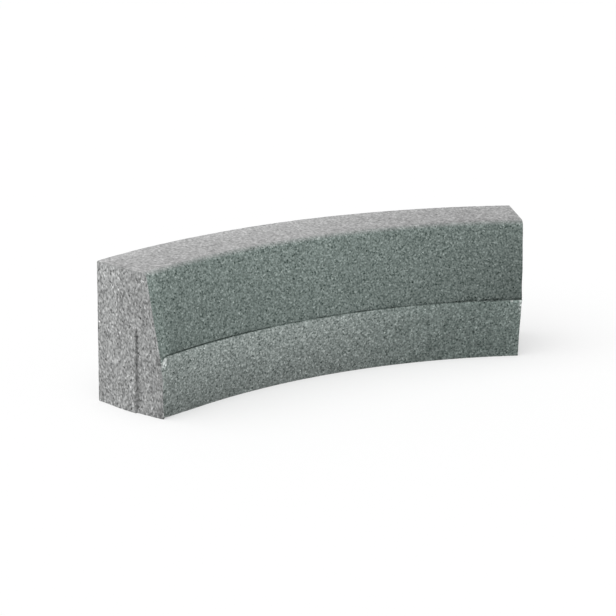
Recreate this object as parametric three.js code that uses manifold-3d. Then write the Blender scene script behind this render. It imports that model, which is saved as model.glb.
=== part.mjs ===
// Curved kerb stone of cast concrete, lying on its flat base with the concave road side towards -Y.
// Millimetres, +Z up. The origin is at the base, under the middle of the stone's bounding box.
// One closed section is swept round an upright axis. Each end face then gets a shallow rebate across
// the lower road side, where the end plate of the mould stands in.
import * as THREE from "three";
import { mergeVertices } from "three/addons/utils/BufferGeometryUtils.js";
import Module from "manifold-3d";

const wasm = await Module();
wasm.setup();

// Overall sizes
const HEIGHT = 255;
const BASE_WIDTH = 150; // through the foot, from the back face to the road face
const FRONT_RADIUS = 1000; // plan radius of the foot's road face
const FRONT_LENGTH = 770; // round the foot's road face, from end to end

// Road side of the section
const TOP_WIDTH = 116; // from the back face to where the top and the batter would meet
const TOP_EDGE_RADIUS = 12;
const BATTER_FOOT_HEIGHT = 112.5; // level of the batter's lower end
const BATTER_FOOT_SETBACK = 3.5; // from the foot's road face to the batter's lower end
const CREASE_DEPTH = 3; // how far the crease under the batter goes in behind the batter's lower end
const CREASE_MOUTH = 3; // height of the crease's opening
const SHOULDER_SETBACK = 2.5; // from the foot's road face to the shoulder's inner edge
const SHOULDER_DROP = 8; // height over which the shoulder rounds over into the foot's road face

// Other edges of the section
const BACK_TOP_RADIUS = 3;
const FOOT_CHAMFER = 1.5;

// Rebate in each end face
const REBATE_INSET = 92; // from the back face to the rebate's edge
const REBATE_DEPTH = 5.5; // at that edge
const REBATE_ROAD_DEPTH = 1; // at the foot's road face, where the rebate's floor comes out again
const REBATE_FULL_HEIGHT = 130; // full depth up to this level
const REBATE_RUN_OUT = 35; // height over which the rebate fades out above that level

// Fineness of the curves
const SWEEP_STEPS = 40;
const ARC_STEPS = 6;

const CUTTER_MARGIN = 10; // how far a cutting body reaches past the surface that it cuts

// Worked-out sizes
const BACK_RADIUS = FRONT_RADIUS + BASE_WIDTH;
const HALF_ANGLE = FRONT_LENGTH / FRONT_RADIUS / 2;

// The section: x is the distance from the back face and y is the height.
function section() {
  const batterFootX = BASE_WIDTH - BATTER_FOOT_SETBACK;
  const batterLean = Math.atan2(batterFootX - TOP_WIDTH, HEIGHT - BATTER_FOOT_HEIGHT);
  const topEdgeX = TOP_WIDTH - TOP_EDGE_RADIUS * Math.tan((Math.PI / 2 - batterLean) / 2);
  const shoulderTop = BATTER_FOOT_HEIGHT - CREASE_MOUTH;

  const outline = new THREE.Shape();
  outline.moveTo(FOOT_CHAMFER, 0);
  outline.lineTo(BASE_WIDTH - FOOT_CHAMFER, 0);
  outline.lineTo(BASE_WIDTH, FOOT_CHAMFER);
  outline.lineTo(BASE_WIDTH, shoulderTop - SHOULDER_DROP);
  outline.quadraticCurveTo(BASE_WIDTH, shoulderTop, BASE_WIDTH - SHOULDER_SETBACK, shoulderTop);
  outline.lineTo(batterFootX - CREASE_DEPTH, shoulderTop + CREASE_MOUTH / 2);
  outline.lineTo(batterFootX, BATTER_FOOT_HEIGHT);
  outline.absarc(topEdgeX, HEIGHT - TOP_EDGE_RADIUS, TOP_EDGE_RADIUS, batterLean, Math.PI / 2, false);
  outline.absarc(BACK_TOP_RADIUS, HEIGHT - BACK_TOP_RADIUS, BACK_TOP_RADIUS, Math.PI / 2, Math.PI, false);
  outline.lineTo(0, FOOT_CHAMFER);
  return outline;
}

// Extrudes the section to a straight bar and bends the bar round the Z axis, its middle towards +Y.
function sweptStone() {
  const bar = new THREE.ExtrudeGeometry(section(), {
    depth: 1,
    steps: SWEEP_STEPS,
    curveSegments: ARC_STEPS,
    bevelEnabled: false,
  });
  const place = bar.getAttribute("position");
  for (let i = 0; i < place.count; i++) {
    const radius = BACK_RADIUS - place.getX(i);
    const angle = (1 - 2 * place.getZ(i)) * HALF_ANGLE;
    place.setXYZ(i, radius * Math.sin(angle), radius * Math.cos(angle), place.getY(i));
  }
  return bar;
}

// The body that cuts one end's rebate. side is +1 at the +X end and -1 at the other.
function rebateCutter(side) {
  const fadePerDepth = REBATE_RUN_OUT / REBATE_DEPTH;
  const outside = side * CUTTER_MARGIN;
  // x runs along the stone from the end face, and y is the height.
  const profile = new THREE.Shape([
    new THREE.Vector2(-side * REBATE_DEPTH, -CUTTER_MARGIN),
    new THREE.Vector2(outside, -CUTTER_MARGIN),
    new THREE.Vector2(outside, REBATE_FULL_HEIGHT + (REBATE_DEPTH + CUTTER_MARGIN) * fadePerDepth),
    new THREE.Vector2(-side * REBATE_DEPTH, REBATE_FULL_HEIGHT),
  ]);
  const rebateWidth = BASE_WIDTH - REBATE_INSET;
  const cutter = new THREE.ExtrudeGeometry(profile, {
    depth: rebateWidth + CUTTER_MARGIN,
    bevelEnabled: false,
  });

  // It lies on the end face and runs from the rebate's edge towards the road side, coming out on its way.
  const angle = side * HALF_ANGLE;
  const along = new THREE.Vector3(Math.cos(angle), -Math.sin(angle), 0);
  const up = new THREE.Vector3(0, 0, 1);
  const towardsRoad = new THREE.Vector3(-Math.sin(angle), -Math.cos(angle), 0);
  const comingOut = (REBATE_DEPTH - REBATE_ROAD_DEPTH) / rebateWidth;
  const sweep = towardsRoad.clone().addScaledVector(along, side * comingOut);
  const place = new THREE.Matrix4().makeBasis(along, up, sweep);
  place.setPosition(towardsRoad.clone().multiplyScalar(REBATE_INSET - BACK_RADIUS));
  return cutter.applyMatrix4(place);
}

function toSolid(geometry) {
  geometry.deleteAttribute("normal");
  geometry.deleteAttribute("uv");
  const merged = mergeVertices(geometry, 1e-4);
  return new wasm.Manifold(
    new wasm.Mesh({
      numProp: 3,
      vertProperties: new Float32Array(merged.getAttribute("position").array),
      triVerts: new Uint32Array(merged.index.array),
    }),
  );
}

function toGeometry(solid) {
  const { vertProperties, triVerts } = solid.getMesh();
  const geometry = new THREE.BufferGeometry();
  geometry.setAttribute("position", new THREE.BufferAttribute(vertProperties, 3));
  geometry.setIndex(new THREE.BufferAttribute(triVerts, 1));
  geometry.computeVertexNormals();
  return geometry;
}

const concrete = new THREE.MeshStandardMaterial({
  color: 0xa9aaa7,
  roughness: 0.95,
  metalness: 0,
  flatShading: true,
});

const stone = [-1, 1].reduce(
  (solid, side) => solid.subtract(toSolid(rebateCutter(side))),
  toSolid(sweptStone()),
);

const kerbStone = new THREE.Mesh(toGeometry(stone), concrete);
kerbStone.name = "kerb_stone";
kerbStone.geometry.computeBoundingBox();
const { min, max } = kerbStone.geometry.boundingBox;
kerbStone.position.y = -(min.y + max.y) / 2; // from the axis of curvature to the middle of the stone

const group = new THREE.Group();
group.add(kerbStone);

export default group;
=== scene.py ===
# A curved kerb stone of cast concrete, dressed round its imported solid.
# Metres, +Z up. The road side faces -Y, and the stone bends round an upright axis on that side.
import math
from types import SimpleNamespace

import bpy
from mathutils import Matrix, Vector


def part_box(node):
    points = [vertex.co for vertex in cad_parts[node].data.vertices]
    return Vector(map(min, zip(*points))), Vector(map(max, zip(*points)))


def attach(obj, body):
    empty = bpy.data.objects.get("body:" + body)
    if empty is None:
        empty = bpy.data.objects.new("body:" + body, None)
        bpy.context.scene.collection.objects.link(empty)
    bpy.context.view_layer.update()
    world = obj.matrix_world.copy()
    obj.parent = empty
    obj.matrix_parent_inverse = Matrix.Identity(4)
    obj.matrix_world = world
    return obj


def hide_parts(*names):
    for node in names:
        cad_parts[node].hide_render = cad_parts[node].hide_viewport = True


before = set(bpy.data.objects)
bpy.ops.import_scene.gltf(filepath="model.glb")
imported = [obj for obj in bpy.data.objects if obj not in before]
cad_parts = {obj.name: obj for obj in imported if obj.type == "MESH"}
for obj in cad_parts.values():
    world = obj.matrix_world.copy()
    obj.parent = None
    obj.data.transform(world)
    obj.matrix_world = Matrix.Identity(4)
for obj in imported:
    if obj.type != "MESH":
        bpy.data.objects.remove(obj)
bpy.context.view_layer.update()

MM = 0.001
STONE = "kerb_stone"
STONE_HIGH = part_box(STONE)[1]


def mm(*lengths):
    """These lengths in millimetres, as a tuple in metres."""
    return tuple(length * MM for length in lengths)


# Plan of the stone
BASE_WIDTH = 150 * MM
FRONT_RADIUS = 1000 * MM
FRONT_LENGTH = 770 * MM
BACK_RADIUS = FRONT_RADIUS + BASE_WIDTH
HALF_ANGLE = FRONT_LENGTH / FRONT_RADIUS / 2
CENTRE_Y = STONE_HIGH.y - BACK_RADIUS  # where the axis of the bend stands

# Section of the stone
HEIGHT = STONE_HIGH.z
TOP_WIDTH = 116 * MM
TOP_EDGE_RADIUS = 12 * MM
BATTER_FOOT_HEIGHT = 112.5 * MM
BATTER_FOOT_SETBACK = 3.5 * MM
CREASE_DEPTH = 3 * MM
CREASE_MOUTH = 3 * MM
SHOULDER_SETBACK = 2.5 * MM
SHOULDER_DROP = 8 * MM
BACK_TOP_RADIUS = 3 * MM
FOOT_CHAMFER = 1.5 * MM
UNDERCUT_LEAN = 0.12  # how fast the batter's line draws back below its foot

# Rebate in each end face
REBATE_INSET = 92 * MM
REBATE_DEPTH = 5.5 * MM
REBATE_ROAD_DEPTH = 1 * MM
REBATE_FULL_HEIGHT = 133 * MM
REBATE_RUN_OUT = 32 * MM
REBATE_TOP = REBATE_FULL_HEIGHT + REBATE_RUN_OUT
REBATE_RISER = 0.6 * MM  # how far the step leans
REBATE_SHARES = ((35 * MM, 1.18), (100 * MM, 0.75))  # height, and the share of its depth there

# How far the end faces stand out from their true planes: height and distance
LEFT_FRONT_BULGE = ((70 * MM, 0.0), (100 * MM, 4 * MM), (REBATE_TOP, 3 * MM))
LEFT_REAR_BULGE = ((0.0, 5 * MM), (REBATE_TOP, 3 * MM))
RIGHT_BULGE = mm(108, -0.6), mm(112, -1.6), mm(165, -2.4), mm(230, -1.5)
BULGE_REAR_REACH = mm(0, 75)  # insets over which the left end's bulge sets in
BULGE_TURN = mm(92, 130)  # insets over which its rear shape turns into its front shape
BULGE_FADE = 60 * MM  # how far into the stone the ends' shape fades out

# The right end's floor rises in front, beside the batter's foot
RIGHT_FLOOR_RISE = 0.5
RIGHT_FLOOR_HEIGHTS = mm(104, 112)
RIGHT_FLOOR_INSETS = mm(105, 145)

# The right end's top back corner stands further out
BACK_CORNER_REACH = 1.7 * MM
BACK_CORNER_HEIGHTS = mm(190, 253)
BACK_CORNER_INSETS = mm(10, 105)

# Wear of the left end face: the base corner, the notch under the shoulder and the lip at the base
BASE_CORNER_DEPTH = 3.5 * MM
BASE_CORNER_HEIGHT = 25 * MM
BASE_CORNER_INSET = 125 * MM
NOTCH_DEPTH = 4.4 * MM
NOTCH_FLOOR = mm(92, 98)
NOTCH_ROOF = mm(111, 114)
NOTCH_INSETS = mm(138, 149)
BASE_LIP_REACH = 2.5 * MM
BASE_LIP_HEIGHT = 16 * MM
BASE_LIP_INSET = 122 * MM

# Broken shoulder at the left end
BREAK_REACH = 13 * MM  # along the stone from the end
BREAK_START = 2 * MM
BREAK_SINK = 8 * MM  # how far the shoulder's line comes down at the end
BREAK_DEPTH = 3 * MM
BREAK_FALL = 26 * MM  # how far down the break fades out

# How far the base's front edge is chipped back beside the left end: distance from the end and depth
LOWER_CHIP = mm(0, 1), mm(3, 5), mm(14, 5), mm(20, 3.2), mm(34, 2.6), mm(50, 1.5), mm(64, 0.6), mm(90, 0)
LOWER_CHIP_HEIGHT = 5 * MM

# Small nicks in the shoulder: distance from the middle of the stone, height, radius and depth
NICKS = (
    mm(361.5, 108, 4, 1.5),
    mm(382, 100, 9, 1.6),
    mm(-118, 108, 4, 1.0),
    mm(176, 108, 5, 1.0),
)

# The crease is open to the left of here, and nearly silted up beyond it but for these stretches:
# where each starts and ends from the middle of the stone, and how open it is.
CREASE_SILTS_AT = -150 * MM
SILTING_LENGTH = 8 * MM
SILTED_SHARE = 0.32
STRETCH_END = 1.5 * MM  # half the length over which a stretch opens or closes
OPEN_STRETCHES = (
    (-139 * MM, -129 * MM, 0.7),
    (-31 * MM, -3 * MM, 0.75),
    (52 * MM, 88 * MM, 0.9),
    (127 * MM, 138 * MM, 1.0),
    (247 * MM, 293 * MM, 0.78),
    (304 * MM, 341 * MM, 0.75),
    (343 * MM, 361 * MM, 0.4),
    (364 * MM, 385 * MM, 0.75),
)

# How far the crease's lips are crumbled away along the right of the stone: place and share
CRUMBLED_LIPS = (
    (247 * MM, 0.0),
    (252 * MM, 0.35),
    (286 * MM, 0.35),
    (297 * MM, 1.0),
    (341 * MM, 1.0),
    (347 * MM, 0.45),
    (385 * MM, 0.55),
)
LIP_LOSS = 1.8 * MM  # how far the crease comes down where its lips are crumbled

# Unevenness of the crease: how far apart its lumps are, how far it wanders up and down, and the
# shares by which its opening and its crumbled lips vary
CREASE_LUMP = 11 * MM
CREASE_WANDER = 0.35 * MM
OPENING_VARIES = 0.3
CRUMBLING_VARIES = 0.4
CLOSES_AT = 0.5  # how far into the broken corner the crease has closed, as a share
CRUMBLED_WIDER = 1.1  # the crease is wider and deeper by these shares where its lips are crumbled
CRUMBLED_DEEPER = 0.2

# Relief: how high it is, and how far apart its waves and its coarse and fine lumps are
WAVINESS = 0.3 * MM
WAVE_LUMP = 90 * MM
GRAIN_RELIEF = 0.2 * MM
COARSE_LUMP = 24 * MM
COARSE_SHARE = 0.6  # of the fine lumps' height
FINE_LUMP = 9 * MM
SKIN_SINK = 0.1 * MM  # how far the skin lies inside the solid before its relief
END_ROUGHER = 1.0  # by how much the end faces and the back are rougher than the road side
BACK_ROUGHER = 0.5

# Pits and chips: how far apart their cells are, the radii in spacings over which they rise to the
# skin, and the chances over which a cell gets one
PIT_DEPTH = 1.2 * MM
PIT_SPACING = 21 * MM
PIT_RIM = (0.06, 0.24)
PIT_CHANCE = (0.6, 0.65)
CHIP_SPACING = 17 * MM
CHIP_RIM = (0.1, 0.4)
CHIP_CHANCE = (0.7, 0.75)

# Worn arris round each end face, and the shares by which lumps and chips add to its wear
ARRIS_WEAR = 0.8 * MM
ARRIS_LUMP = 20 * MM
ARRIS_VARIES = 0.6
CHIP_WEAR = 1.2

# Rows of faces up the section, from the base to the top
CHAMFER_ROWS = 1
FOOT_ROWS = 36
SHOULDER_ROWS = 5
CREASE_ROWS = 4
BATTER_ROWS = 46
TOP_EDGE_ROWS = 8

# The rows in which the foot, the shoulder, the crease and the batter end
FOOT_END = CHAMFER_ROWS + FOOT_ROWS
SHOULDER_END = FOOT_END + SHOULDER_ROWS
CREASE_MIDDLE = SHOULDER_END + CREASE_ROWS / 2
CREASE_END = SHOULDER_END + CREASE_ROWS
BATTER_END = CREASE_END + BATTER_ROWS
ROWS = BATTER_END + TOP_EDGE_ROWS
EASED_ROWS = 4  # rows above the crease that still follow it as it wanders

# Columns of faces across the section, from the back to the road side
REAR_COLUMNS = 32
RISER_COLUMNS = 1
FRONT_COLUMNS = 21
COLUMNS = REAR_COLUMNS + RISER_COLUMNS + FRONT_COLUMNS

# Stations along the stone, from the middle to each end
LONG_STATIONS = 118
CLOSE_STATIONS = 18
ARRIS_STATIONS = 3
ARRIS_START = LONG_STATIONS + CLOSE_STATIONS
LAST_STATION = ARRIS_START + ARRIS_STATIONS
CLOSE_LENGTH = 34 * MM  # stretch beside each end where the stations stand closer

SHARP_EDGE = math.radians(38)  # faces that meet at more than this keep a crisp edge
SEED = 7
NOISE_MIDDLE = 0.5  # the noise nodes' mean
NOISE_GAIN = 3.0  # what brings their swing to about 1

# What is added to the seed for each noise in the shape
WAVE_SEED = 0.0
COARSE_LUMP_SEED = 1.0
FINE_LUMP_SEED = 2.0
OPENING_SEED = 5.0
WANDER_SEED = 6.0

# Concrete colours, in linear light: the grey, and the green that the cement adds to it
# The facing's grey is partly the mix's own and partly painted shade on the road side.
FACING_SHADED_GREY = 0.175
FACING_GREEN = 0.039
TOP_GREY = 0.4
CORE_GREY = 0.32
CORE_GREEN = 0.005
FRESH_GREY = 0.38  # broken concrete
BLUE_SHARE = 0.61  # how much blue comes with the green
FOOT_LESS_GREEN = 0.4  # the share of the green that is missing at the foot's left end
SPECULAR_LEVEL = 0.3

# A span is a pair: the lengths between which it fades in, and those between which it fades out.
# A mark is a span across, a span upwards, and how much paler it makes the concrete there.
ALL = (None, None)

# Marks in the end faces: inset from the back, height
END_MARKS = (
    (ALL, (None, mm(0, 60)), -0.06),  # darker towards the base
    (ALL, (mm(215, 245), None), 0.1),  # paler towards the top
    ((mm(12, 20), mm(46, 54)), (mm(110, 180), None), 0.1),  # pale stretch, upper rear
    ((mm(48, 56), None), (mm(110, 180), None), -0.09),  # darker upper front
    ((mm(98, 102), None), (mm(20, 34), mm(92, 104)), -0.05),  # darker rebate
    ((mm(126, 132), None), (mm(20, 34), mm(92, 104)), -0.08),  # and darker still in front
    ((mm(93.8, 95.2), mm(97.8, 99.2)), (mm(140, 146), mm(167, 173)), 0.14),  # pale line by the step
    ((mm(139, 143), None), (mm(56, 64), mm(88, 96)), -0.09),  # stained arris
    ((None, mm(18, 32)), (mm(212, 220), mm(236, 244)), 0.13),  # pale patch under the top
    ((None, mm(9, 14)), (mm(4, 12), mm(26, 34)), -0.17),  # darker rear arris low down
    ((mm(94, 98), None), (None, mm(5, 9)), -0.17),  # darker along the base: painted shade by the floor
    ((mm(132, 137), None), (None, mm(21, 29)), -0.24),  # darker front corner low down
)
ARRIS_PAINTED_HIGHLIGHT = ((None, mm(3, 5)), (mm(110, 118), mm(232, 240)), 0.07)  # painted highlight; across: behind this line
ARRIS_LEAN = 0.2245  # how fast that line leans back from the batter's foot

# Marks in the foot's road face, the batter and the shoulder: distance from the left end, height
FOOT_MARKS = (
    (ALL, (mm(92, 102), None), 0.05),  # pale under the shoulder
    ((mm(11, 17), mm(29, 35)), ALL, -0.08),  # dull stretch
    ((None, mm(9, 13)), (mm(16, 24), mm(52, 60)), -0.12),  # stained corner
)
BATTER_MARKS = (
    (ALL, ALL, -0.02),  # all of it
    (ALL, (mm(120, 250), None), 0.24),  # paler up to the top edge: painted light
    (ALL, (None, mm(112, 124)), -0.1),  # dark above the crease: painted shade
    ((None, mm(14, 24)), ALL, 0.14),  # worn left end
    ((None, mm(20, 55)), ALL, 0.06),  # and beside it
    ((mm(615, 760), None), ALL, -0.068),  # darker right end: painted shade
    ((mm(615, 760), None), (None, mm(205, 240)), -0.102),  # and darker still below the top edge: painted shade
)
# A painted highlight along the shoulder's rim near the right end: distance from the left end, height
SHOULDER_PAINTED_HIGHLIGHT = ((mm(749, 754), None), (mm(104.5, 105.5), mm(110.5, 111.5)), 0.45)

# Marks in the top: inset from the back, distance from the left end
TOP_MARKS = (
    ((None, mm(22, 50)), ALL, 0.09),  # pale back
    ((mm(90, 106), None), ALL, -0.04),  # darker front
    ((None, mm(14, 36)), (None, mm(64, 72)), 0.09),  # pale left back corner
    ((None, mm(14, 36)), (mm(39, 49), mm(59, 69)), 0.05),  # and palest in its middle
)
TOP_FRONT = (mm(90, 106), None)

# The foot's tone along the chord, and how much paler it grows up to the crease. Growing paler upwards is
# painted light and shade: darker low down by the floor, paler under the shoulder
FOOT_CHORD_TONE = ((-150 * MM, 0.09), (200 * MM, -0.07), (310 * MM, -0.07), (360 * MM, 0.01))
FOOT_PAINTED_RISE = (mm(5, 100), None)
FOOT_PAINTED_RISE_TONE = 0.6

# Towards the right the stone darkens, along the chord from the first of these to the second: painted shade,
# as the light falls off away from the left
RIGHTWARDS = mm(-50, 330)
FACING_PAINTED_SHADE_RIGHT = 0.22
TOP_PAINTED_SHADE_RIGHT = 0.14
TOP_FRONT_PAINTED_SHADE_RIGHT = 0.08
FOOT_PAINTED_RISE_FADES = 0.7

# Dirt and painted shade in the left end face, with shares that are taken off: inset from the back, height
LEFT_END_DIRT_AND_SHADE = (
    ((mm(81, 83), mm(91, 93)), (mm(135, 141), mm(150, 156)), 0.14),  # stain beside the step
    ((mm(67, 69), mm(81, 83)), (mm(153.2, 154), mm(156, 156.8)), 0.35),  # three short dark lines
    ((mm(86, 88), mm(94, 96)), (mm(136.2, 137), mm(139, 139.8)), 0.45),
    ((mm(92, 94), mm(102, 104)), (mm(35.7, 36.5), mm(38.5, 39.3)), 0.45),
    ((mm(136, 139), mm(146.5, 149.5)), (mm(96, 98), mm(108, 110)), 0.5),  # painted shade in the hollow
)
CRACK = ((mm(12, 13), mm(14, 15)), (mm(94, 96), mm(106, 108)), 0.45)  # across: from the left end
# A painted shade line along the step of each end face's rebate, up to the rebate's top
STEP_SHADE_LINE = ((mm(91.4, 92), mm(92.2, 92.8)), (None, mm(160, 168)), 0.28)
STEP_SHADE_GAP = (mm(11, 17), mm(28, 34))  # heights at which the step's painted shade is lighter
STEP_SHADE_GAP_SHARE = 0.5
STEP_LUMP = 8 * MM
STEP_VARIES = 0.4
STEP_SEED = 7.0

# Broken concrete at the foot's left corner: the bright break, and the worn arris below it, painted pale as
# a highlight
BRIGHT_BREAK = ((None, mm(9, 12)), (mm(93, 95), mm(111, 113)), 0.8)
WORN_ARRIS_HIGHLIGHT = ((None, mm(-1, 2)), (None, mm(94, 96)), 0.18)
WORN_ARRIS_HIGHLIGHT_WIDTH = ((50 * MM, 0.0), (76 * MM, 5 * MM))  # height and width

# Broken concrete at the shoulder's right end, placed from the middle of the stone: the fresh nick's
# place and height, the radii over which it fades and its share, and the worn corner
FRESH_NICK = mm(361.5, 108.3)
FRESH_NICK_FADE = mm(1.5, 2.6)
FRESH_NICK_SHARE = 1.4
FRESH_NICK_STRETCH = 0.8  # its height over its length
WORN_CORNER = ((mm(374, 378.5), None), (mm(78, 98), None), 1.2)

# Cloudiness: how far apart the clouds are, how strong they are all over and how much stronger in the
# foot's road face, and their noise's seed and detail
CLOUDS = (
    (60 * MM, 0.04, 0.0, 4.0, 2.0),
    (18 * MM, 0.05, 0.05, 5.0, 2.0),
    (8 * MM, 0.0, 0.22, 8.0, 1.0),
)

# Grain: how far apart the sand grains and the fine noise's lumps are, and how they show in the tone
SAND_SPACING = 2.7 * MM
SAND_TONE = 0.22
GRAIN_TONE = 0.12
TOP_SAND_LESS = 0.2
FINE_SPACING = 3.5 * MM
FINE_TONE = 0.2
FINE_GRAIN_SEED = 3.0
END_DRAWN = 0.3  # how much the end faces' grain is drawn out upright

# Dark pores and pale specks share the same cells: their rim in spacings, and the cells' chances
SPOT_SPACING = 5 * MM
SPOT_RIM = (0.18, 0.34)
PORE_CHANCE = (0.8, 0.84)
PORE_TONE = 0.34
SPECK_CHANCE = (0.12, 0.16)
SPECK_TONE = 0.3

# Where the crease's lips are crumbled the pores are more frequent and the grain harsher: distance
# from the middle of the stone, height
CRUMBLED_ZONE = ((mm(249, 255), mm(342, 348)), (mm(106, 110), mm(115, 119)), 1.0)
CRUMBLED_PORES = 0.4
CRUMBLED_CONTRAST = 0.5

# How strongly the grain shows, how much less in the top and the end faces, and the darkest it gets
GRAIN_CONTRAST = 1.38
TOP_CONTRAST_LESS = 0.34
END_CONTRAST_LESS = 0.06
DARKEST_GRAIN = 0.2

# The trowelled top: its lumps, how far they take the grain's place, and how they show towards the right
TROWEL_SPACING = 4.5 * MM
TROWEL_SEED = 6.0
TROWELLED_SHARE = 0.55
TROWEL_TONE = 0.55
TROWEL_TONE_GROWS = 0.15

# Roughness and bumps of the surface
MATTNESS = 0.9
FINE_MATTER = 0.05
SPECK_GLOSSIER = 0.04
BUMP_STRENGTH = 0.6
BUMP_HEIGHT = 0.5 * MM
FINE_BUMP = 0.4
SAND_BUMP = 0.7
SPECK_BUMP = 0.5

# Studio
FLOOR_HALF = 60.0
FLOOR_GREY = 0.5
FLOOR_GLOW = 0.47
BACKDROP_RADIUS = 30.0
BACKDROP_HEIGHT = 14.0
BACKDROP_PANELS = 96
SKY_STRENGTH = 0.4
KEY_STRENGTH = 2.3
KEY_SPREAD = math.radians(80)
KEY_FROM = Vector((-0.4, -0.05, 0.9))
WHITE = (1.0, 1.0, 1.0, 1.0)
BLACK = (0.0, 0.0, 0.0, 1.0)

# Camera
IMAGE_SIDE = 616
FOCAL_PIXELS = 1943.62
SENSOR = 36.0
CAMERA_PLACE = Vector((-1.732475, CENTRE_Y - 1.868304, 1.175627))
CAMERA_YAW = 0.530371
CAMERA_PITCH = 0.303524
CAMERA_ROLL = 0.018806
CAMERA_REACH = 200.0


# ---------------------------------------------------------------------------------------------
# Node sums
# ---------------------------------------------------------------------------------------------


class Field:
    """A number or vector in a node tree. Sums and products of fields add the nodes for them."""

    def __init__(self, tree, socket):
        self.tree = tree
        self.socket = socket

    def __add__(self, other):
        return calc("ADD", self, other)

    def __radd__(self, other):
        return calc("ADD", other, self)

    def __sub__(self, other):
        return calc("SUBTRACT", self, other)

    def __rsub__(self, other):
        return calc("SUBTRACT", other, self)

    def __mul__(self, other):
        return calc("MULTIPLY", self, other)

    def __rmul__(self, other):
        return calc("MULTIPLY", other, self)

    def __truediv__(self, other):
        return calc("DIVIDE", self, other)


def plug(tree, value, socket):
    """Links a field to a socket, or sets the socket to a plain value."""
    if isinstance(value, Field):
        tree.links.new(value.socket, socket)
    else:
        socket.default_value = value


def add_node(tree, kind, inputs=None, **settings):
    """Adds a node with these settings, and fills its inputs by name or number."""
    node = tree.nodes.new(kind)
    for name, value in settings.items():
        setattr(node, name, value)
    for name, value in (inputs or {}).items():
        plug(tree, value, node.inputs[name])
    return node


def node_field(tree, kind, inputs=None, output=0, **settings):
    """One output of a new node, as a field."""
    node = add_node(tree, kind, inputs, **settings)
    return Field(tree, node.outputs[output])


def calc(operation, *values):
    """One step of arithmetic on fields and plain numbers."""
    tree = next(value.tree for value in values if isinstance(value, Field))
    return node_field(tree, "ShaderNodeMath", dict(enumerate(values)), operation=operation)


def ramp(value, start, end, low, high, smooth=False):
    """Goes from low to high while value goes from start to end, and stays level beyond them."""
    shape = "SMOOTHSTEP" if smooth else "LINEAR"
    inputs = {"Value": value, "From Min": start, "From Max": end, "To Min": low, "To Max": high}
    return node_field(value.tree, "ShaderNodeMapRange", inputs, "Result", interpolation_type=shape)


def blend(share, low, high):
    """low where share is 0 and high where it is 1."""
    return low + (high - low) * share


def polyline(value, points):
    """A line of straight stretches through (place, height) points with rising places."""
    total = points[0][1]
    for (start, low), (end, high) in zip(points, points[1:]):
        total = total + ramp(value, start, end, 0.0, high - low)
    return total


def hypotenuse(one, other):
    """The long side of a right-angled triangle with these two short sides."""
    return calc("SQRT", one * one + other * other)


def split(place):
    """The three components of a vector field."""
    node = add_node(place.tree, "ShaderNodeSeparateXYZ", {0: place})
    return [Field(place.tree, socket) for socket in node.outputs]


def join(x, y, z):
    """A vector field from its components."""
    tree = next(value.tree for value in (x, y, z) if isinstance(value, Field))
    return node_field(tree, "ShaderNodeCombineXYZ", {0: x, 1: y, 2: z})


def noise(place, lump, seed, detail=1.0):
    """Soft noise from about -1 to 1, whose lumps are about that far apart."""
    inputs = {"Vector": place, "W": seed, "Scale": 1 / lump, "Detail": detail}
    raw = node_field(place.tree, "ShaderNodeTexNoise", inputs, noise_dimensions="4D")
    return (raw - NOISE_MIDDLE) * NOISE_GAIN


def cells(place, spacing):
    """Distance from the middle of each cell in spacings, and three random numbers for each cell."""
    node = add_node(place.tree, "ShaderNodeTexVoronoi", {"Vector": place, "Scale": 1 / spacing})
    distance = Field(place.tree, node.outputs["Distance"])
    return distance, split(Field(place.tree, node.outputs["Color"]))


def within(value, span, share):
    """This share inside a span, fading to 0 at its ends. An end that is None lies open."""
    fade_in, fade_out = span
    if fade_in:
        share = ramp(value, *fade_in, 0.0, share)
    if fade_out:
        share = ramp(value, *fade_out, share, 0.0)
    return share


def mark(across, upward, row):
    """One row of a table of marks: its share within both of its spans."""
    span_across, span_upward, share = row
    return within(upward, span_upward, within(across, span_across, share))


def marks(across, upward, table):
    """All the marks of a table, added up."""
    return sum(mark(across, upward, row) for row in table)


# ---------------------------------------------------------------------------------------------
# The stone's shape
# ---------------------------------------------------------------------------------------------

SHAPE_INPUTS = {
    "Height": HEIGHT,
    "Base Width": BASE_WIDTH,
    "Back Radius": BACK_RADIUS,
    "Half Angle": HALF_ANGLE,
    "Axis Y": CENTRE_Y,
    "Top Width": TOP_WIDTH,
    "Top Edge Radius": TOP_EDGE_RADIUS,
    "Batter Foot Height": BATTER_FOOT_HEIGHT,
    "Batter Foot Setback": BATTER_FOOT_SETBACK,
    "Crease Depth": CREASE_DEPTH,
    "Crease Mouth": CREASE_MOUTH,
    "Shoulder Setback": SHOULDER_SETBACK,
    "Shoulder Drop": SHOULDER_DROP,
    "Back Top Radius": BACK_TOP_RADIUS,
    "Foot Chamfer": FOOT_CHAMFER,
    "Rebate Inset": REBATE_INSET,
    "Rebate Depth": REBATE_DEPTH,
    "Rebate Road Depth": REBATE_ROAD_DEPTH,
    "Rebate Full Height": REBATE_FULL_HEIGHT,
    "Rebate Run Out": REBATE_RUN_OUT,
    "Rebate Riser": REBATE_RISER,
    "Break Reach": BREAK_REACH,
    "Break Sink": BREAK_SINK,
    "Break Depth": BREAK_DEPTH,
    "Break Fall": BREAK_FALL,
    "Arris Wear": ARRIS_WEAR,
    "Waviness": WAVINESS,
    "Grain Relief": GRAIN_RELIEF,
    "Pit Depth": PIT_DEPTH,
    "Seed": float(SEED),
    "Concrete": None,
}


def named_inputs(tree, values):
    """Gives the tree its inputs and returns them as fields by name."""
    for name, value in values.items():
        kind = "NodeSocketMaterial" if value is None else "NodeSocketFloat"
        tree.interface.new_socket(name, in_out="INPUT", socket_type=kind)
    entry = tree.nodes.new("NodeGroupInput")
    return {name: Field(tree, entry.outputs[name]) for name in values}


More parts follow.
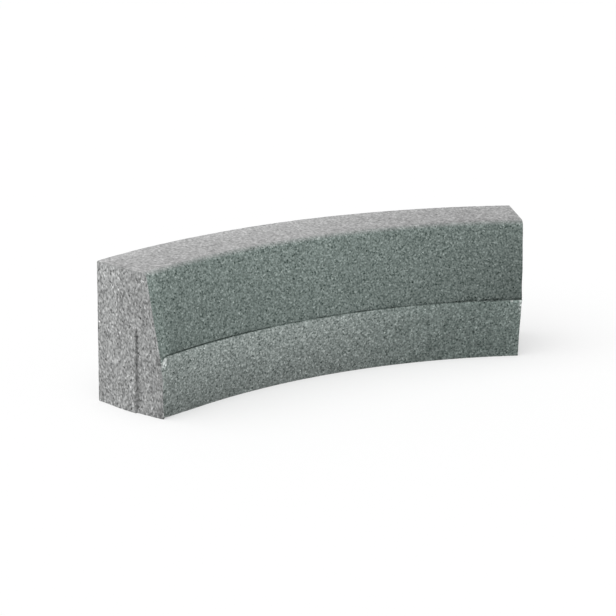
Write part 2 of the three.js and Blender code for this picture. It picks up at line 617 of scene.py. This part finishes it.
def derived_sizes(size):
    """Lengths that follow from the tree's inputs, by name."""
    mean_radius = size["Back Radius"] - size["Base Width"] / 2.0
    half_riser = size["Rebate Riser"] / 2.0
    return {
        "Front Radius": size["Back Radius"] - size["Base Width"],
        "Mean Radius": mean_radius,
        "Half Length": size["Half Angle"] * mean_radius,
        "Step Start": size["Rebate Inset"] - half_riser,
        "Step End": size["Rebate Inset"] + half_riser,
        "Rebate Top": size["Rebate Full Height"] + size["Rebate Run Out"],
    }


def named_number(tree, name):
    """The number stored under this name at each vertex."""
    inputs = {"Name": name}
    return node_field(tree, "GeometryNodeInputNamedAttribute", inputs, "Attribute", data_type="FLOAT")


def face_block(tree):
    """A box of faces one unit wide: stations along X, columns along Y and rows along Z."""
    counts = (2 * LAST_STATION, COLUMNS, ROWS)
    inputs = {"Size": counts}
    for axis, count in zip("XYZ", counts):
        inputs["Vertices " + axis] = count + 1
    return node_field(tree, "GeometryNodeMeshCube", inputs, "Mesh")


def block_places(tree, size):
    """Where each vertex belongs: its station, column and row, and its place along and across."""
    station, column, row = split(node_field(tree, "GeometryNodeInputPosition"))
    side = calc("SIGN", station)
    at = SimpleNamespace(side=side, is_right=ramp(side, -0.5, 0.5, 0.0, 1.0))
    at.station = calc("ABSOLUTE", station)  # from the middle of the stone
    at.column = COLUMNS / 2 - column  # from the back to the road side
    at.row = row + ROWS / 2  # from the base

    # Even stations, and closer ones beside the end
    close_start = size["Half Length"] - CLOSE_LENGTH
    stretches = [(0, 0.0), (LONG_STATIONS, close_start), (ARRIS_START, size["Half Length"])]
    at.straight = polyline(at.station, stretches)
    at.road_place = at.side * at.straight * size["Front Radius"] / size["Mean Radius"]
    at.from_end = size["Half Angle"] * size["Front Radius"] - calc("ABSOLUTE", at.road_place)

    # Columns that keep the rebate's step in line
    riser_end = REAR_COLUMNS + RISER_COLUMNS
    step = [(REAR_COLUMNS, size["Step Start"]), (riser_end, size["Step End"])]
    at.across = polyline(at.column, [(0, 0.0), *step, (COLUMNS, size["Base Width"])])
    at.past_step = ramp(at.across, size["Step Start"], size["Step End"], 0.0, 1.0)
    return at


def crease_opening(place):
    """How open the crease is along the stone."""
    total = ramp(place, CREASE_SILTS_AT, CREASE_SILTS_AT + SILTING_LENGTH, 1.0, SILTED_SHARE)
    for start, end, share in OPEN_STRETCHES:
        opens = ramp(place, start - STRETCH_END, start + STRETCH_END, 0.0, share - SILTED_SHARE)
        closes = ramp(place, end - STRETCH_END, end + STRETCH_END, 0.0, share - SILTED_SHARE)
        total = total + opens - closes
    return total


def crease_lines(size, place, near_left):
    """The crease's depth and mouth along the stone, and how far it wanders up. It closes at the break."""
    line = join(place, 0.0, 0.0)
    uneven = noise(line, CREASE_LUMP, size["Seed"] + OPENING_SEED, detail=2.0)
    wander = noise(line, CREASE_LUMP, size["Seed"] + WANDER_SEED, detail=2.0)
    crumbled = polyline(place, CRUMBLED_LIPS) * (1.0 + CRUMBLING_VARIES * uneven)
    crumbled = calc("MAXIMUM", crumbled, 0.0)
    depth = size["Crease Depth"] * crease_opening(place) * (1.0 + OPENING_VARIES * uneven)
    depth = depth * ramp(near_left, 0.0, CLOSES_AT, 1.0, 0.0)
    return SimpleNamespace(
        depth=depth * (1.0 + CRUMBLED_DEEPER * crumbled),
        mouth=size["Crease Mouth"] * (1.0 + CRUMBLED_WIDER * crumbled),
        wander=CREASE_WANDER * wander - LIP_LOSS * crumbled,
    )


def batter_lines(size, row):
    """The batter's foot and lean, where the top edge's arc starts, and how far the arc has turned."""
    batter = SimpleNamespace(foot=size["Base Width"] - size["Batter Foot Setback"])
    rise = size["Height"] - size["Batter Foot Height"]
    batter.lean = calc("ARCTAN2", batter.foot - size["Top Width"], rise)
    radius = size["Top Edge Radius"]
    middle = size["Top Width"] - radius * calc("TANGENT", (math.pi / 2 - batter.lean) / 2.0)
    batter.arc_inset = middle + radius * calc("COSINE", batter.lean)
    batter.arc_height = size["Height"] - radius + radius * calc("SINE", batter.lean)
    batter.turn = ramp(row, BATTER_END, ROWS, batter.lean, math.pi / 2)
    return batter


def row_heights(size, row, batter, crease, shoulder_top):
    """The height of each row of faces, with the shoulder's top brought down to shoulder_top."""
    shoulder_foot = shoulder_top - size["Shoulder Drop"]
    height = polyline(
        row,
        [
            (0, 0.0),
            (CHAMFER_ROWS, size["Foot Chamfer"]),
            (FOOT_END, shoulder_foot),
            (SHOULDER_END, shoulder_foot),
            (CREASE_END, shoulder_foot + crease.mouth),
            (BATTER_END, shoulder_foot + (batter.arc_height - shoulder_top)),
        ],
    )
    under = 1.0 - ramp(row, FOOT_END, SHOULDER_END, 0.0, 1.0)
    height = height + size["Shoulder Drop"] * (1.0 - under * under)
    height = height + size["Top Edge Radius"] * (calc("SINE", batter.turn) - calc("SINE", batter.lean))
    near_crease = ramp(row, FOOT_END, SHOULDER_END, 0.0, 1.0, smooth=True)
    near_crease = near_crease * ramp(row, CREASE_END, CREASE_END + EASED_ROWS, 1.0, 0.0, smooth=True)
    return height + crease.wander * near_crease


def road_line(size, row, height, batter, crease):
    """How far each row stands out from the back, on the road side."""
    width = size["Base Width"]
    setback = size["Shoulder Setback"]
    below_arc = calc("MAXIMUM", batter.arc_height - height, 0.0)
    line = calc("MINIMUM", batter.arc_inset + below_arc * calc("TANGENT", batter.lean), batter.foot)
    line = line - UNDERCUT_LEAN * calc("MAXIMUM", size["Batter Foot Height"] - height, 0.0)
    front = polyline(
        row,
        [
            (0, width - size["Foot Chamfer"]),
            (CHAMFER_ROWS, width),
            (SHOULDER_END, width),
            (CREASE_MIDDLE, batter.foot - crease.depth + setback),
            (CREASE_END, batter.foot + setback),
        ],
    )
    over = ramp(row, FOOT_END, SHOULDER_END, 0.0, 1.0)
    front = front - setback * over * over
    front = front + (line - batter.foot) * ramp(row, CREASE_END - 1, CREASE_END, 0.0, 1.0)
    return front + size["Top Edge Radius"] * (calc("COSINE", batter.turn) - calc("COSINE", batter.lean))


def back_line(size, row, height):
    """How far each row stands in at the back: the base's chamfer and the rounded top edge."""
    radius = size["Back Top Radius"]
    into_edge = calc("MAXIMUM", height - size["Height"] + radius, 0.0)
    drop = calc("MAXIMUM", radius * radius - into_edge * into_edge, 0.0)
    return ramp(row, 0, CHAMFER_ROWS, size["Foot Chamfer"], 0.0) + radius - calc("SQRT", drop)


def road_damage(size, at, height, shoulder_top):
    """How far the foot's road face is broken back: its left corner, its nicks and its lower edge."""
    is_left = 1.0 - at.is_right
    corner = is_left * ramp(at.from_end, BREAK_START, size["Break Reach"], 1.0, 0.0)
    falling = ramp(shoulder_top - height, 0.0, size["Break Fall"], 1.0, 0.0)
    damage = size["Break Depth"] * corner * falling
    for nick_place, nick_height, nick_radius, nick_depth in NICKS:
        reach = hypotenuse(at.road_place - nick_place, height - nick_height)
        damage = damage + ramp(reach, 0.0, nick_radius, nick_depth, 0.0)
    on_foot = ramp(at.row, SHOULDER_END, SHOULDER_END + 1, 1.0, 0.0)
    chip = is_left * polyline(at.from_end, LOWER_CHIP) * ramp(height, 0.0, LOWER_CHIP_HEIGHT, 1.0, 0.0)
    return damage * on_foot + chip


def section(size, at):
    """The height, road-side line and back line of the section at each vertex, damage included."""
    is_left = 1.0 - at.is_right
    near_left = is_left * ramp(at.from_end, 0.0, size["Break Reach"], 1.0, 0.0)
    sink = size["Break Sink"] * near_left * near_left
    shoulder_top = size["Batter Foot Height"] - size["Crease Mouth"] - sink
    crease = crease_lines(size, at.road_place, near_left)
    batter = batter_lines(size, at.row)
    height = row_heights(size, at.row, batter, crease, shoulder_top)
    front = road_line(size, at.row, height, batter, crease)
    front = front - road_damage(size, at, height, shoulder_top)
    return height, front, back_line(size, at.row, height)


def place_across(size, at, height, front, back):
    """How far in from the back each vertex lies. The step keeps its line, and the top is evenly divided."""
    width = size["Base Width"]
    stepped = at.across + back * ramp(at.across, 0.0, size["Rebate Inset"], 1.0, 0.0)
    stepped = stepped + (front - width) * ramp(at.across, size["Rebate Inset"], width, 0.0, 1.0)
    even = back + (front - back) * at.column / float(COLUMNS)
    spread = ramp(height, size["Rebate Top"], size["Height"], 0.0, 1.0, smooth=True)
    return blend(spread, stepped, even)


def arris_wear(size, at, inset, height):
    """How far the arris round each end face is worn down, unevenly and with a chip here and there."""
    place = join(at.side * at.straight, inset, height)
    distance, (chance, _, _) = cells(place, CHIP_SPACING)
    chips = ramp(distance, *CHIP_RIM, 1.0, 0.0) * ramp(chance, *CHIP_CHANCE, 0.0, 1.0)
    uneven = noise(place, ARRIS_LUMP, size["Seed"])
    return size["Arris Wear"] * (1.0 + ARRIS_VARIES * uneven + CHIP_WEAR * chips)


def rebate_depth(size, at, inset, height):
    """How deep the rebate is cut into an end face."""
    depth = at.past_step * polyline(height, REBATE_SHARES)
    depth = depth * ramp(height, size["Rebate Full Height"], size["Rebate Top"], 1.0, 0.0, smooth=True)
    floors = size["Rebate Depth"], size["Rebate Road Depth"]
    left_floor = ramp(inset, size["Rebate Inset"], size["Base Width"], *floors)
    rise = ramp(height, *RIGHT_FLOOR_HEIGHTS, 0.0, RIGHT_FLOOR_RISE, smooth=True)
    rise = rise * ramp(inset, *RIGHT_FLOOR_INSETS, 0.0, 1.0, smooth=True)
    return depth * blend(at.is_right, left_floor, size["Rebate Depth"] * (1.0 - rise))


def left_offset(size, at, inset, height):
    """How far the left end face stands out: its bulge, worn base corner, notch and lip."""
    width = size["Base Width"]
    turned = ramp(inset, *BULGE_TURN, 0.0, 1.0, smooth=True)
    bulge = blend(turned, polyline(height, LEFT_REAR_BULGE), polyline(height, LEFT_FRONT_BULGE))
    bulge = bulge * ramp(inset, *BULGE_REAR_REACH, 0.0, 1.0, smooth=True)
    in_corner = ramp(inset, BASE_CORNER_INSET, width, 0.0, 1.0)
    corner = ramp(height, 0.0, BASE_CORNER_HEIGHT, BASE_CORNER_DEPTH, 0.0, smooth=True)
    notch = ramp(height, *NOTCH_FLOOR, 0.0, NOTCH_DEPTH, smooth=True)
    notch = notch * ramp(height, *NOTCH_ROOF, 1.0, 0.0) * ramp(inset, *NOTCH_INSETS, 0.0, 1.0)
    lip = ramp(height, 0.0, BASE_LIP_HEIGHT, BASE_LIP_REACH, 0.0, smooth=True)
    lip = at.past_step * lip * ramp(inset, BASE_LIP_INSET, width, 1.0, 0.0)
    return bulge - corner * in_corner * in_corner - notch + lip


def right_offset(inset, height):
    """How far the right end face stands out: it stands back, least at its top back corner."""
    back_corner = ramp(height, *BACK_CORNER_HEIGHTS, 0.0, BACK_CORNER_REACH)
    return polyline(height, RIGHT_BULGE) + back_corner * ramp(inset, *BACK_CORNER_INSETS, 1.0, 0.0)


def bent_place(size, at):
    """Where each vertex comes to lie in the finished stone, before its relief."""
    height, front, back = section(size, at)
    inset = place_across(size, at, height, front, back)

    # The arris turns from the long faces into the end face.
    wear = arris_wear(size, at, inset, height)
    turn = ramp(at.station, ARRIS_START, LAST_STATION, 0.0, math.pi / 2)
    beside_end = ramp(at.station, LONG_STATIONS, ARRIS_START, 0.0, 1.0)
    along = at.straight + wear * (calc("SINE", turn) - beside_end)
    shrink = wear * (1.0 - calc("COSINE", turn))
    inset = inset + shrink * (1.0 - 2.0 * (inset - back) / (front - back))
    height = height + shrink * (1.0 - 2.0 * height / size["Height"])

    # The end faces' own shape fades out into the stone.
    end = blend(at.is_right, left_offset(size, at, inset, height), right_offset(inset, height))
    end = end - rebate_depth(size, at, inset, height)
    fade_start = size["Half Length"] - BULGE_FADE
    along = along + end * ramp(along, fade_start, size["Half Length"], 0.0, 1.0, smooth=True)

    radius = size["Back Radius"] - inset
    angle = at.side * along / size["Mean Radius"]
    return join(radius * calc("SINE", angle), radius * calc("COSINE", angle) + size["Axis Y"], height)


def mark_faces(tree, mesh, at):
    """Stores how much of each vertex lies in an end face, the top, the back, the base and the foot."""
    faces = {
        "end_face": ramp(at.station, ARRIS_START + 1, LAST_STATION, 0.0, 1.0),
        "top_face": ramp(at.row, BATTER_END + 1, ROWS, 0.0, 1.0),
        "back_face": ramp(at.column, 0, 1, 1.0, 0.0),
        "base_face": ramp(at.row, 0, 1, 1.0, 0.0),
        "foot_face": ramp(at.row, SHOULDER_END, SHOULDER_END + 1, 1.0, 0.0),
    }
    for name, value in faces.items():
        inputs = {"Geometry": mesh, "Name": name, "Value": value}
        mesh = node_field(tree, "GeometryNodeStoreNamedAttribute", inputs)
    return mesh


def relief(tree, size):
    """How far the skin lies off the solid along its normal, which is only ever inwards."""
    place = node_field(tree, "GeometryNodeInputPosition")
    seed = size["Seed"]
    rougher = END_ROUGHER * named_number(tree, "end_face") + BACK_ROUGHER * named_number(tree, "back_face")
    grain = size["Grain Relief"] * (1.0 + rougher)
    distance, (chance, _, _) = cells(place, PIT_SPACING)
    pits = ramp(distance, *PIT_RIM, 1.0, 0.0, smooth=True) * ramp(chance, *PIT_CHANCE, 0.0, 1.0)
    depth = size["Waviness"] * noise(place, WAVE_LUMP, seed + WAVE_SEED)
    depth = depth + COARSE_SHARE * grain * noise(place, COARSE_LUMP, seed + COARSE_LUMP_SEED)
    depth = depth + grain * noise(place, FINE_LUMP, seed + FINE_LUMP_SEED)
    depth = depth - size["Pit Depth"] * pits * rougher - SKIN_SINK
    return calc("MINIMUM", depth, 0.0) * (1.0 - named_number(tree, "base_face"))


def weathered(tree, mesh, size):
    """The mesh with its relief."""
    inputs = {0: node_field(tree, "GeometryNodeInputNormal"), "Scale": relief(tree, size)}
    offset = node_field(tree, "ShaderNodeVectorMath", inputs, operation="SCALE")
    return node_field(tree, "GeometryNodeSetPosition", {"Geometry": mesh, "Offset": offset})


def shaded(tree, mesh):
    """The mesh with smooth faces and crisp edges."""
    smooth = node_field(tree, "GeometryNodeSetShadeSmooth", {"Geometry": mesh})
    edge_angle = node_field(tree, "GeometryNodeInputMeshEdgeAngle", output="Unsigned Angle")
    is_sharp = calc("GREATER_THAN", edge_angle, SHARP_EDGE)
    inputs = {"Geometry": smooth, "Selection": is_sharp, "Shade Smooth": False}
    return node_field(tree, "GeometryNodeSetShadeSmooth", inputs, domain="EDGE")


def kerb_shape():
    """The tree that bends a box of faces into the stone and weathers its skin."""
    tree = bpy.data.node_groups.new("Bent Kerb", "GeometryNodeTree")
    tree.interface.new_socket("Geometry", in_out="OUTPUT", socket_type="NodeSocketGeometry")
    size = named_inputs(tree, SHAPE_INPUTS)
    size.update(derived_sizes(size))
    mesh = face_block(tree)
    at = block_places(tree, size)
    mesh = mark_faces(tree, mesh, at)
    bent = {"Geometry": mesh, "Position": bent_place(size, at)}
    mesh = weathered(tree, node_field(tree, "GeometryNodeSetPosition", bent), size)
    mesh = shaded(tree, node_field(tree, "GeometryNodeRealizeInstances", {0: mesh}))
    painted = {"Geometry": mesh, "Material": size["Concrete"]}
    mesh = node_field(tree, "GeometryNodeSetMaterial", painted)
    add_node(tree, "NodeGroupOutput", {"Geometry": mesh})
    return tree


def add_object(name, data):
    """Puts an object with this data into the scene."""
    thing = bpy.data.objects.new(name, data)
    bpy.context.scene.collection.objects.link(thing)
    return thing


def make_kerb(concrete):
    """The finished stone: the tree's result as a plain mesh."""
    tree = kerb_shape()
    blank = add_object("blank", bpy.data.meshes.new("blank"))
    modifier = blank.modifiers.new("shape", "NODES")
    modifier.node_group = tree
    for socket in tree.interface.items_tree:
        if socket.in_out == "INPUT":
            value = SHAPE_INPUTS[socket.name]
            modifier[socket.identifier] = concrete if value is None else value
    bpy.context.view_layer.update()
    shown = blank.evaluated_get(bpy.context.evaluated_depsgraph_get())
    mesh = bpy.data.meshes.new_from_object(shown)
    mesh.name = "kerb_stone_skin"
    bpy.data.objects.remove(blank)
    mesh.materials.clear()
    mesh.materials.append(concrete)
    return add_object("kerb_stone_skin", mesh)


# ---------------------------------------------------------------------------------------------
# Concrete
# ---------------------------------------------------------------------------------------------


def attribute(tree, name):
    """The number that the mesh carries under this name."""
    return node_field(tree, "ShaderNodeAttribute", output="Fac", attribute_name=name)


def surface_places(tree):
    """Where each point of the surface lies in the stone, and which face it belongs to."""
    here = SimpleNamespace(place=node_field(tree, "ShaderNodeTexCoord", output="Object"))
    here.x, here.y, here.height = split(here.place)
    from_axis = here.y - CENTRE_Y
    here.inset = BACK_RADIUS - hypotenuse(here.x, from_axis)
    here.along = FRONT_RADIUS * calc("ARCTAN2", here.x, from_axis)
    here.from_left = here.along + FRONT_LENGTH / 2
    here.to_right = ramp(here.x, *RIGHTWARDS, 0.0, 1.0, smooth=True)

    here.end = attribute(tree, "end_face")
    here.top = attribute(tree, "top_face")
    here.foot = attribute(tree, "foot_face")
    here.core = calc("MAXIMUM", here.end, attribute(tree, "back_face"))
    here.core = calc("MAXIMUM", here.core, attribute(tree, "base_face"))
    here.facing = (1.0 - here.top) * (1.0 - here.core)
    here.road_foot = here.foot * here.facing
    here.batter = (1.0 - here.foot) * here.facing
    return here


def broken_corner(here):
    """How freshly broken the foot's left corner is: bright at the shoulder, and worn pale below it, with a
    painted highlight along the arris.
    """
    bright = mark(here.from_left, here.height, BRIGHT_BREAK)
    beyond_arris = here.from_left - polyline(here.height, WORN_ARRIS_HIGHLIGHT_WIDTH)
    # painted highlight along the worn arris
    return bright + mark(beyond_arris, here.height, WORN_ARRIS_HIGHLIGHT)


def right_wear(here):
    """A fresh nick in the shoulder near the right end, and the foot's worn corner there."""
    nick_place, nick_height = FRESH_NICK
    reach = hypotenuse(FRESH_NICK_STRETCH * (here.along - nick_place), here.height - nick_height)
    nick = ramp(reach, *FRESH_NICK_FADE, FRESH_NICK_SHARE, 0.0)
    return nick + mark(here.along, here.height, WORN_CORNER)


def mix_colours(here):
    """The grey of the concrete's mixes, with painted shade in the facing's grey, and the green that the
    cement adds to them.
    """
    grey = FACING_SHADED_GREY + (TOP_GREY - FACING_SHADED_GREY) * here.top
    grey = grey + (CORE_GREY - grey) * here.core
    fresh = (broken_corner(here) + right_wear(here)) * here.foot * (1.0 - here.core)
    grey = grey + (FRESH_GREY - grey) * fresh
    less_green = FOOT_LESS_GREEN * here.foot * (1.0 - here.to_right)
    green = here.facing * FACING_GREEN * (1.0 - less_green) + CORE_GREEN * here.core
    return grey, green


def foot_tone(here):
    """The foot's road face: paler up to the crease as painted light and shade, and paler at the left, with
    marks beside the left end.
    """
    # painted light and shade: the foot grows paler up to the crease
    rise = within(here.height, FOOT_PAINTED_RISE, FOOT_PAINTED_RISE_TONE) * (1.0 - FOOT_PAINTED_RISE_FADES * here.to_right)
    tone = rise + polyline(here.x, FOOT_CHORD_TONE)
    return (tone + marks(here.from_left, here.height, FOOT_MARKS)) * here.road_foot


def batter_tone(here):
    """The batter: paler towards the top edge and dark above the crease, both painted light and shade; paler
    at its worn left end; darker at the right, as painted shade.
    """
    return marks(here.from_left, here.height, BATTER_MARKS) * here.batter


def end_tone(here):
    """The end faces: pale and darker patches, painted shade along the base, and a painted highlight along
    the arris beside the batter.
    """
    arris = BASE_WIDTH - BATTER_FOOT_SETBACK - ARRIS_LEAN * (here.height - BATTER_FOOT_HEIGHT)
    # painted highlight along the arris beside the batter
    painted_arris_highlight = mark(arris - here.inset, here.height, ARRIS_PAINTED_HIGHLIGHT)
    return (marks(here.inset, here.height, END_MARKS) + painted_arris_highlight) * here.end


def top_tone(here):
    """The top: paler at the back and at its left corner, darker in front, with painted shade darkening its
    front towards the right.
    """
    # painted shade: the top's front darkens towards the right
    front = within(here.inset, TOP_FRONT, TOP_FRONT_PAINTED_SHADE_RIGHT) * here.to_right
    return (marks(here.inset, here.from_left, TOP_MARKS) - front) * here.top


def dirt_and_painted_shade(here):
    """Painted shade along the end faces' step and in the hollow beside the left end's broken corner, stains
    in the left end face, and dirt in the crack next to the corner.
    """
    at_left = ramp(here.from_left, FRONT_LENGTH / 4, FRONT_LENGTH / 2, 1.0, 0.0)
    uneven = noise(join(0.0, 0.0, here.height), STEP_LUMP, STEP_SEED, detail=2.0)
    # painted shade along the step
    step = mark(here.inset, here.height, STEP_SHADE_LINE) * (1.0 + STEP_VARIES * uneven)
    step = step * (1.0 - within(here.height, STEP_SHADE_GAP, STEP_SHADE_GAP_SHARE))
    stains_and_hollow_shade = here.end * marks(here.inset, here.height, LEFT_END_DIRT_AND_SHADE)
    crack = (1.0 - here.end) * mark(here.from_left, here.height, CRACK)
    return here.end * step + at_left * (stains_and_hollow_shade + crack)


def broad_tone(here):
    """How pale the concrete is in its faces, marks and clouds, apart from its grain, painted light and
    shade included.
    """
    broad = 1.0 + foot_tone(here) + batter_tone(here) + end_tone(here) + top_tone(here)
    # painted shade: the facing and the top darken towards the right, away from the light
    broad = broad - here.to_right * (FACING_PAINTED_SHADE_RIGHT * here.facing + TOP_PAINTED_SHADE_RIGHT * here.top)
    # painted highlight on the shoulder's rim near the right end
    broad = broad + mark(here.from_left, here.height, SHOULDER_PAINTED_HIGHLIGHT) * here.road_foot
    # dirt and painted shade: the step line and the hollow are painted shade
    broad = broad * (1.0 - dirt_and_painted_shade(here))
    for lump, strength, foot_strength, seed, detail in CLOUDS:
        clouds = noise(here.place, lump, seed, detail=detail)
        broad = broad + (strength + foot_strength * here.road_foot) * clouds
    return broad


def grain(here):
    """The grain's parts: sand grains, fine noise, dark pores and pale specks, and the tone they make."""
    drawn = join(here.x, here.y, here.height * (1.0 - END_DRAWN * here.end))
    _, (first, second, _) = cells(drawn, SAND_SPACING)
    centred = (2.0 * first - 1.0) * (1.0 - TOP_SAND_LESS * here.top)
    sand = centred * centred * centred
    fine = noise(drawn, FINE_SPACING, FINE_GRAIN_SEED, detail=0.0)

    crumbled = mark(here.along, here.height, CRUMBLED_ZONE) * here.facing
    distance, (chance, _, _) = cells(drawn, SPOT_SPACING)
    spot = ramp(distance, *SPOT_RIM, 1.0, 0.0)
    pore = ramp(chance + CRUMBLED_PORES * crumbled, *PORE_CHANCE, 0.0, 1.0) * spot
    speck = ramp(chance, *SPECK_CHANCE, 1.0, 0.0) * spot

    grains = SAND_TONE * sand + GRAIN_TONE * (second - 0.5) + FINE_TONE * fine
    grains = grains - PORE_TONE * pore + SPECK_TONE * speck
    trowelled = noise(here.place, TROWEL_SPACING, TROWEL_SEED)
    trowelled = (TROWEL_TONE + TROWEL_TONE_GROWS * here.to_right) * trowelled
    grains = blend(TROWELLED_SHARE * here.top, grains, trowelled)
    contrast = GRAIN_CONTRAST * (1.0 - TOP_CONTRAST_LESS * here.top)
    contrast = contrast * (1.0 - END_CONTRAST_LESS * here.end) * (1.0 + CRUMBLED_CONTRAST * crumbled)
    tone = calc("MAXIMUM", 1.0 + grains * contrast, DARKEST_GRAIN)
    return SimpleNamespace(tone=tone, fine=fine, sand=second, pore=pore, speck=speck)


def concrete_material():
    """Cast concrete: a cool grey facing mix in front, darkened further by painted shade, and a paler,
    coarser mix on the other faces.
    """
    material = bpy.data.materials.new("cast concrete")
    material.use_nodes = True
    tree = material.node_tree
    here = surface_places(tree)
    grains = grain(here)
    grey, green = mix_colours(here)
    toned = broad_tone(here) * grains.tone
    red = grey * toned * grains.tone
    green = green * toned
    parts = {0: red, 1: red + green, 2: red + BLUE_SHARE * green}

    bumps = FINE_BUMP * grains.fine + SAND_BUMP * grains.sand + SPECK_BUMP * grains.speck - grains.pore
    bump = {"Strength": BUMP_STRENGTH, "Distance": BUMP_HEIGHT, "Height": bumps}
    looks = {
        "Base Color": node_field(tree, "ShaderNodeCombineColor", parts),
        "Roughness": MATTNESS + FINE_MATTER * grains.fine - SPECK_GLOSSIER * grains.speck,
        "Specular IOR Level": SPECULAR_LEVEL,
        "Normal": node_field(tree, "ShaderNodeBump", bump),
    }
    shader = tree.nodes["Principled BSDF"]
    for name, value in looks.items():
        plug(tree, value, shader.inputs[name])
    return material


# ---------------------------------------------------------------------------------------------
# Studio
# ---------------------------------------------------------------------------------------------


def make_camera():
    """The camera, in front of the stone and to its left, turned by its yaw, pitch and roll."""
    forward = Vector((math.sin(CAMERA_YAW) * math.cos(CAMERA_PITCH),
                      math.cos(CAMERA_YAW) * math.cos(CAMERA_PITCH),
                      -math.sin(CAMERA_PITCH)))
    level_right = Vector((math.cos(CAMERA_YAW), -math.sin(CAMERA_YAW), 0.0))
    level_up = level_right.cross(forward)
    right = math.cos(CAMERA_ROLL) * level_right + math.sin(CAMERA_ROLL) * level_up
    up = math.cos(CAMERA_ROLL) * level_up - math.sin(CAMERA_ROLL) * level_right
    camera = add_object("camera", bpy.data.cameras.new("camera"))
    camera.data.sensor_width = SENSOR
    camera.data.lens = SENSOR * FOCAL_PIXELS / IMAGE_SIDE
    camera.data.clip_end = CAMERA_REACH
    turn = Matrix((right, up, -forward)).transposed()
    camera.matrix_world = Matrix.Translation(CAMERA_PLACE) @ turn.to_4x4()
    bpy.context.scene.camera = camera


def glowing_paint(name, colour, glow):
    """A matt paint of this colour that also gives off white light of its own."""
    paint = bpy.data.materials.new(name)
    paint.use_nodes = True
    shader = paint.node_tree.nodes["Principled BSDF"]
    shader.inputs["Base Color"].default_value = colour
    shader.inputs["Roughness"].default_value = 1.0
    shader.inputs["Specular IOR Level"].default_value = 0.0
    shader.inputs["Emission Color"].default_value = WHITE
    shader.inputs["Emission Strength"].default_value = glow
    return paint


def make_floor():
    """A wide, pale studio floor with a soft glow."""
    mesh = bpy.data.meshes.new("floor")
    signs = ((-1, -1), (1, -1), (1, 1), (-1, 1))
    corners = [(x * FLOOR_HALF, y * FLOOR_HALF, 0.0) for x, y in signs]
    mesh.from_pydata(corners, [], [(0, 1, 2, 3)])
    floor = add_object("floor", mesh)
    grey = (FLOOR_GREY, FLOOR_GREY, FLOOR_GREY, 1.0)
    mesh.materials.append(glowing_paint("pale floor", grey, FLOOR_GLOW))


def make_backdrop():
    """A white wall far round the stone, which hides the horizon in low views and casts no light."""
    turns = [math.tau * panel / BACKDROP_PANELS for panel in range(BACKDROP_PANELS)]
    rim = [(BACKDROP_RADIUS * math.cos(turn), BACKDROP_RADIUS * math.sin(turn)) for turn in turns]
    corners = [(x, y, height) for height in (0.0, BACKDROP_HEIGHT) for x, y in rim]
    faces = []
    for panel in range(BACKDROP_PANELS):
        after = (panel + 1) % BACKDROP_PANELS
        faces.append((after, panel, panel + BACKDROP_PANELS, after + BACKDROP_PANELS))
    mesh = bpy.data.meshes.new("backdrop")
    mesh.from_pydata(corners, [], faces)
    backdrop = add_object("backdrop", mesh)
    backdrop.visible_diffuse = False
    backdrop.visible_glossy = False
    backdrop.visible_transmission = False
    backdrop.visible_shadow = False
    paint = glowing_paint("white backdrop", BLACK, 1.0)
    paint.cycles.emission_sampling = "NONE"
    mesh.materials.append(paint)


def make_lights():
    """An even white sky and a wide, soft key light from above."""
    scene = bpy.context.scene
    scene.view_settings.view_transform = "Standard"
    world = bpy.data.worlds.new("studio")
    world.use_nodes = True
    background = world.node_tree.nodes["Background"]
    background.inputs["Color"].default_value = WHITE
    background.inputs["Strength"].default_value = SKY_STRENGTH
    scene.world = world

    sun = bpy.data.lights.new("soft key", "SUN")
    sun.energy = KEY_STRENGTH
    sun.angle = KEY_SPREAD
    lamp = add_object("soft key", sun)
    lamp.rotation_euler = KEY_FROM.to_track_quat("Z", "Y").to_euler()


make_camera()
concrete = concrete_material()
kerb = make_kerb(concrete)
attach(kerb, "root")
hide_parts(STONE)
make_floor()
make_backdrop()
make_lights()
